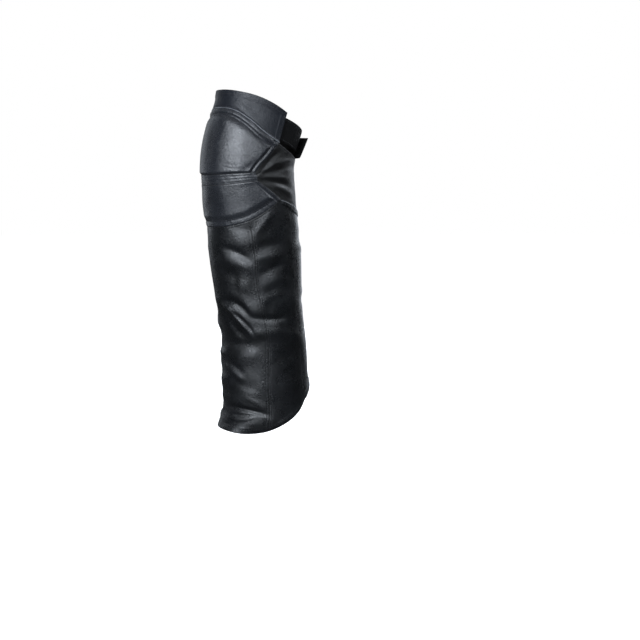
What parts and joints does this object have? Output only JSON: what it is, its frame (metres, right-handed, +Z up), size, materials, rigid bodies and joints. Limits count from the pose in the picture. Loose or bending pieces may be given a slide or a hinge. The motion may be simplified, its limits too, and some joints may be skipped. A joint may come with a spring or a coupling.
{
  "type": "leather leg cover",
  "caption": "Black leather leg cover with a padded knee, a knee gusset, a curved hem and a thigh strap, kept hollow as worn on a bent leg.",
  "frame": {"origin": "middle of the thigh opening at the level of the strap, where the wearer's leg holds the cover up", "axes": "+Z up, -Y the front of the leg, the way the toes point, +X the inner side of this right leg"},
  "size_m": [0.1525, 0.182, 0.5525],
  "materials": {
    "band_leather": "semi-gloss black leather",
    "knee_leather": "semi-gloss black leather over a soft pad",
    "gusset_leather": "soft satin black leather",
    "body_leather": "semi-gloss black leather, creased by wear",
    "strap_webbing": "matt black napped strap"
  },
  "bodies": {
    "root": {"top_band": "band_leather", "upper_knee_panel": "knee_leather", "knee_strip": "knee_leather", "lower_knee_panel": "knee_leather", "knee_gusset": "gusset_leather", "shin_panel": "body_leather", "calf_inner_panel": "body_leather", "calf_back_panel": "body_leather", "strap_inner": "strap_webbing", "strap_outer": "strap_webbing"}
  },
  "joints": []
}
